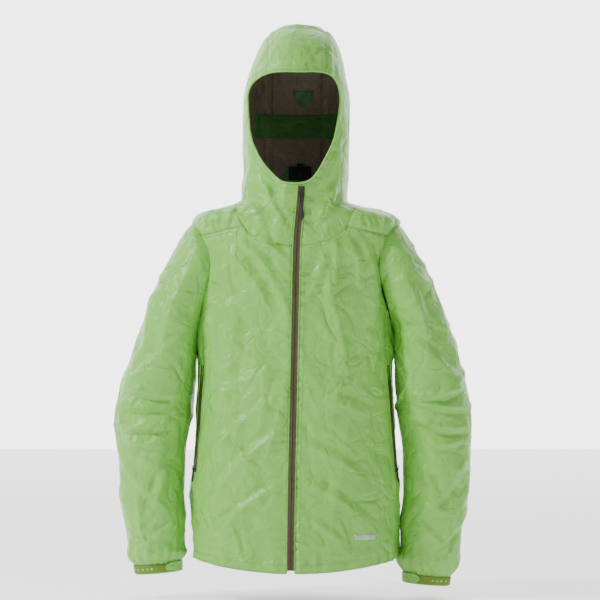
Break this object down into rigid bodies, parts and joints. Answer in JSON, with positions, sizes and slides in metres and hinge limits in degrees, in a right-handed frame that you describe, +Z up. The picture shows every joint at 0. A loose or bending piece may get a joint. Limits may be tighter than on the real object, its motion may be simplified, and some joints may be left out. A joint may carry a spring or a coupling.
{
  "type": "hardshell jacket",
  "caption": "Hooded hardshell jacket hanging closed, with a full-length front zip, zipped hand pockets, adjustable hook-and-loop cuffs and a hanging loop in the neck.",
  "frame": {"origin": "where a peg bears, under the upper end of the hanging loop inside the back of the neck", "axes": "+Z up as the jacket hangs, -Y towards the front zip, +X towards the wearer's left"},
  "size_m": [0.6218, 0.2599, 0.9774],
  "materials": {
    "shell_fabric": "light green coated nylon, satin",
    "inner_laminate": "taupe printed laminate, matt",
    "zip_tape": "coated olive-brown zip tape",
    "zip_coil": "moulded nylon coil",
    "slider_metal": "lacquered die-cast zinc",
    "pull_rubber": "moulded dark green pull",
    "cuff_strip": "olive loop tape with moulded dots",
    "black_webbing": "woven black tape",
    "reflective_film": "heat-sealed reflective film"
  },
  "bodies": {
    "jacket": {"back_panel": "shell_fabric", "face_opening_binding": "shell_fabric", "hood_centre_panel": "shell_fabric", "right_front_panel": "shell_fabric", "left_front_panel": "shell_fabric", "right_side_panel": "shell_fabric", "left_side_panel": "shell_fabric", "right_shoulder_yoke": "shell_fabric", "left_shoulder_yoke": "shell_fabric", "right_hood_panel": "shell_fabric", "left_hood_panel": "shell_fabric", "hood_back_band": "shell_fabric", "hood_adjuster_patch": "shell_fabric", "nape_patch": "shell_fabric", "chin_guard": "shell_fabric", "hem_facing": "inner_laminate", "hood_brim_stiffener": "inner_laminate", "storm_flap": "inner_laminate", "right_hood_seam_tape": "inner_laminate", "left_hood_seam_tape": "inner_laminate", "right_pocket_bag": "inner_laminate", "left_pocket_bag": "inner_laminate", "neck_label": "black_webbing", "hanging_loop": "black_webbing", "reflective_bar": "reflective_film", "right_zip_tape": "zip_tape", "left_zip_tape": "zip_tape", "right_zip_coil": "zip_coil", "left_zip_coil": "zip_coil", "right_zip_top_stop": "slider_metal", "left_zip_top_stop": "slider_metal", "zip_retainer_box": "zip_coil", "right_pocket_zip": "zip_tape", "left_pocket_zip": "zip_tape"},
    "main_slider": {"main_slider": "slider_metal"},
    "main_pull": {"main_pull": "pull_rubber"},
    "right_sleeve": {"right_sleeve_front": "shell_fabric", "right_sleeve_back": "shell_fabric", "right_cuff_band": "shell_fabric", "right_cuff_strip": "cuff_strip"},
    "right_cuff_tab": {"right_cuff_tab": "shell_fabric"},
    "right_pocket_slider": {"right_pocket_slider": "slider_metal"},
    "right_pocket_pull": {"right_pocket_pull": "pull_rubber"},
    "left_sleeve": {"left_sleeve_front": "shell_fabric", "left_sleeve_back": "shell_fabric", "left_cuff_band": "shell_fabric", "left_cuff_strip": "cuff_strip"},
    "left_cuff_tab": {"left_cuff_tab": "shell_fabric"},
    "left_pocket_slider": {"left_pocket_slider": "slider_metal"},
    "left_pocket_pull": {"left_pocket_pull": "pull_rubber"}
  },
  "joints": [
    {"name": "main_slider_travel", "type": "slide", "parent": "jacket", "child": "main_slider", "axis": [-0.0286, -0.0402, -0.9988], "range_m": [0, 0.634]},
    {"name": "main_pull_swing", "type": "hinge", "parent": "main_slider", "child": "main_pull", "pos_m": [0.00258, -0.17297, -0.04466], "axis": [-1, 0, 0], "range_deg": [0, 150]},
    {"name": "right_pocket_slider_travel", "type": "slide", "parent": "jacket", "child": "right_pocket_slider", "axis": [0.0739, -0.05, 0.996], "range_m": [0, 0.169]},
    {"name": "right_pocket_pull_swing", "type": "hinge", "parent": "right_pocket_slider", "child": "right_pocket_pull", "pos_m": [-0.18578, -0.10713, -0.52264], "axis": [-0.2751, 0.959, 0.0685], "range_deg": [0, 60]},
    {"name": "right_sleeve_lift", "type": "hinge", "parent": "jacket", "child": "right_sleeve", "pos_m": [-0.188, -0.07438, -0.094], "axis": [0, 1, 0], "range_deg": [0, 45]},
    {"name": "right_cuff_tab_peel", "type": "hinge", "parent": "right_sleeve", "child": "right_cuff_tab", "pos_m": [-0.20702, -0.07964, -0.69227], "axis": [-0.089, 0, 0.996], "range_deg": [0, 100]},
    {"name": "left_pocket_slider_travel", "type": "slide", "parent": "jacket", "child": "left_pocket_slider", "axis": [-0.0739, -0.05, 0.996], "range_m": [0, 0.169]},
    {"name": "left_pocket_pull_swing", "type": "hinge", "parent": "left_pocket_slider", "child": "left_pocket_pull", "pos_m": [0.16978, -0.10713, -0.52264], "axis": [-0.2751, -0.959, -0.0685], "range_deg": [0, 60]},
    {"name": "left_sleeve_lift", "type": "hinge", "parent": "jacket", "child": "left_sleeve", "pos_m": [0.172, -0.07438, -0.094], "axis": [0, -1, 0], "range_deg": [0, 45]},
    {"name": "left_cuff_tab_peel", "type": "hinge", "parent": "left_sleeve", "child": "left_cuff_tab", "pos_m": [0.18002, -0.07964, -0.71227], "axis": [-0.089, 0, -0.996], "range_deg": [0, 100]}
  ]
}
